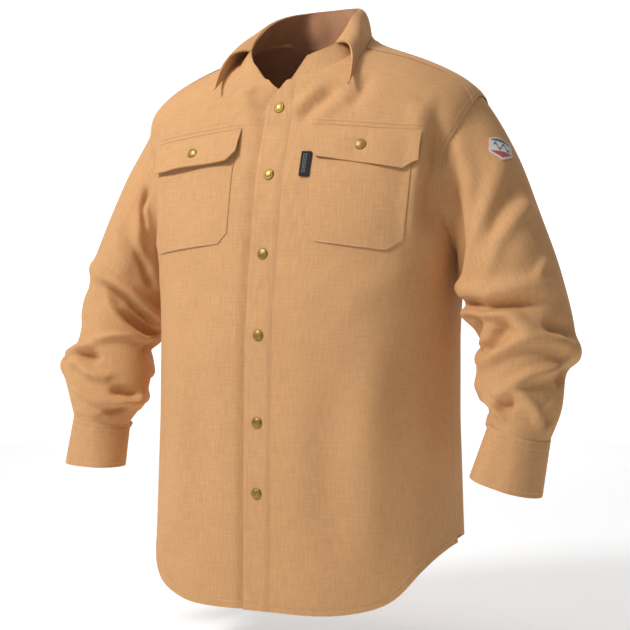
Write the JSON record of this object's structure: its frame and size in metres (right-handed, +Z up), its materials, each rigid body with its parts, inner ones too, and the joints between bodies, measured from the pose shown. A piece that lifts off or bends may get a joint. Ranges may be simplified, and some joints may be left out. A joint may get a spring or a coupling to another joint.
{
  "type": "work shirt",
  "caption": "Long-sleeved welding work shirt in tan flame-resistant cotton twill, with a snap front, shirt collar, flapped chest pockets and a curved tail.",
  "frame": {"origin": "middle of the neck opening, level with the points where the shoulder seams meet the collar", "axes": "+Z up, the wearer faces -Y, the wearer's left is +X"},
  "size_m": [0.7474, 0.2901, 0.8012],
  "materials": {
    "twill": "tan flame-resistant cotton twill, matte",
    "twill_inside": "inside face of the twill, darker and redder",
    "interlining": "woven interlining",
    "snap_brass": "antique brass",
    "label_black": "woven label tape",
    "badge": "woven badge with a merrowed edge"
  },
  "bodies": {
    "torso_body": {"back_panel": "twill", "collar_interlining": "interlining", "collar_stand_inner": "twill_inside", "collar_stand_interlining": "interlining", "collar_stand_outer": "twill", "front_snap_backings_upper": "snap_brass", "front_snap_caps_upper": "snap_brass", "front_snap_sockets_upper": "snap_brass", "front_snap_studs_upper": "snap_brass", "left_front_upper": "twill", "left_placket_upper": "twill", "left_pocket": "twill", "left_pocket_snap_stud": "snap_brass", "pocket_tab_label": "label_black", "right_front_upper": "twill", "right_placket_upper": "twill", "right_pocket": "twill", "right_pocket_snap_stud": "snap_brass", "under_collar": "twill", "upper_collar": "twill", "yoke": "twill", "yoke_lining": "twill_inside"},
    "left_sleeve_upper_body": {"left_sleeve_upper": "twill", "sleeve_badge": "badge"},
    "left_forearm_body": {"left_sleeve_lower": "twill", "left_cuff": "twill", "left_cuff_snap": "snap_brass"},
    "right_sleeve_upper_body": {"right_sleeve_upper": "twill"},
    "right_forearm_body": {"right_sleeve_lower": "twill", "right_cuff": "twill", "right_cuff_snap": "snap_brass"},
    "left_flap_body": {"left_pocket_flap": "twill", "left_flap_snap_cap": "snap_brass", "left_flap_snap_socket": "snap_brass"},
    "right_flap_body": {"right_pocket_flap": "twill", "right_flap_snap_cap": "snap_brass", "right_flap_snap_socket": "snap_brass"},
    "left_front_body": {"left_front_lower": "twill", "left_placket_lower": "twill", "front_snap_caps_lower": "snap_brass", "front_snap_sockets_lower": "snap_brass"},
    "right_front_body": {"right_front_lower": "twill", "right_placket_lower": "twill", "front_snap_studs_lower": "snap_brass", "front_snap_backings_lower": "snap_brass"}
  },
  "joints": [
    {"name": "left_sleeve_raise", "type": "hinge", "parent": "torso_body", "child": "left_sleeve_upper_body", "pos_m": [0.235, 0, -0.12], "axis": [0, -1, 0], "range_deg": [0, 60]},
    {"name": "right_sleeve_raise", "type": "hinge", "parent": "torso_body", "child": "right_sleeve_upper_body", "pos_m": [-0.235, 0, -0.12], "axis": [0, 1, 0], "range_deg": [0, 60]},
    {"name": "left_elbow_bend", "type": "hinge", "parent": "left_sleeve_upper_body", "child": "left_forearm_body", "pos_m": [0.312, -0.101, -0.392], "axis": [-1, 0, 0], "range_deg": [0, 70]},
    {"name": "right_elbow_bend", "type": "hinge", "parent": "right_sleeve_upper_body", "child": "right_forearm_body", "pos_m": [-0.312, -0.101, -0.392], "axis": [-1, 0, 0], "range_deg": [0, 70]},
    {"name": "left_pocket_flap_lift", "type": "hinge", "parent": "torso_body", "child": "left_flap_body", "pos_m": [0.052, -0.118, -0.1105], "axis": [-0.9947, -0.0568, 0.0853], "range_deg": [0, 110]},
    {"name": "right_pocket_flap_lift", "type": "hinge", "parent": "torso_body", "child": "right_flap_body", "pos_m": [-0.052, -0.118, -0.1105], "axis": [-0.9947, 0.0568, -0.0853], "range_deg": [0, 110]},
    {"name": "left_front_open", "type": "hinge", "parent": "torso_body", "child": "left_front_body", "pos_m": [0.221, -0.0195, -0.54], "axis": [0, 0, 1], "range_deg": [0, 30]},
    {"name": "right_front_open", "type": "hinge", "parent": "torso_body", "child": "right_front_body", "pos_m": [-0.221, -0.0195, -0.54], "axis": [0, 0, -1], "range_deg": [0, 21]}
  ],
  "couplings": [
    {"joint": "right_front_open", "follows": "left_front_open", "ratio": 0.7}
  ]
}
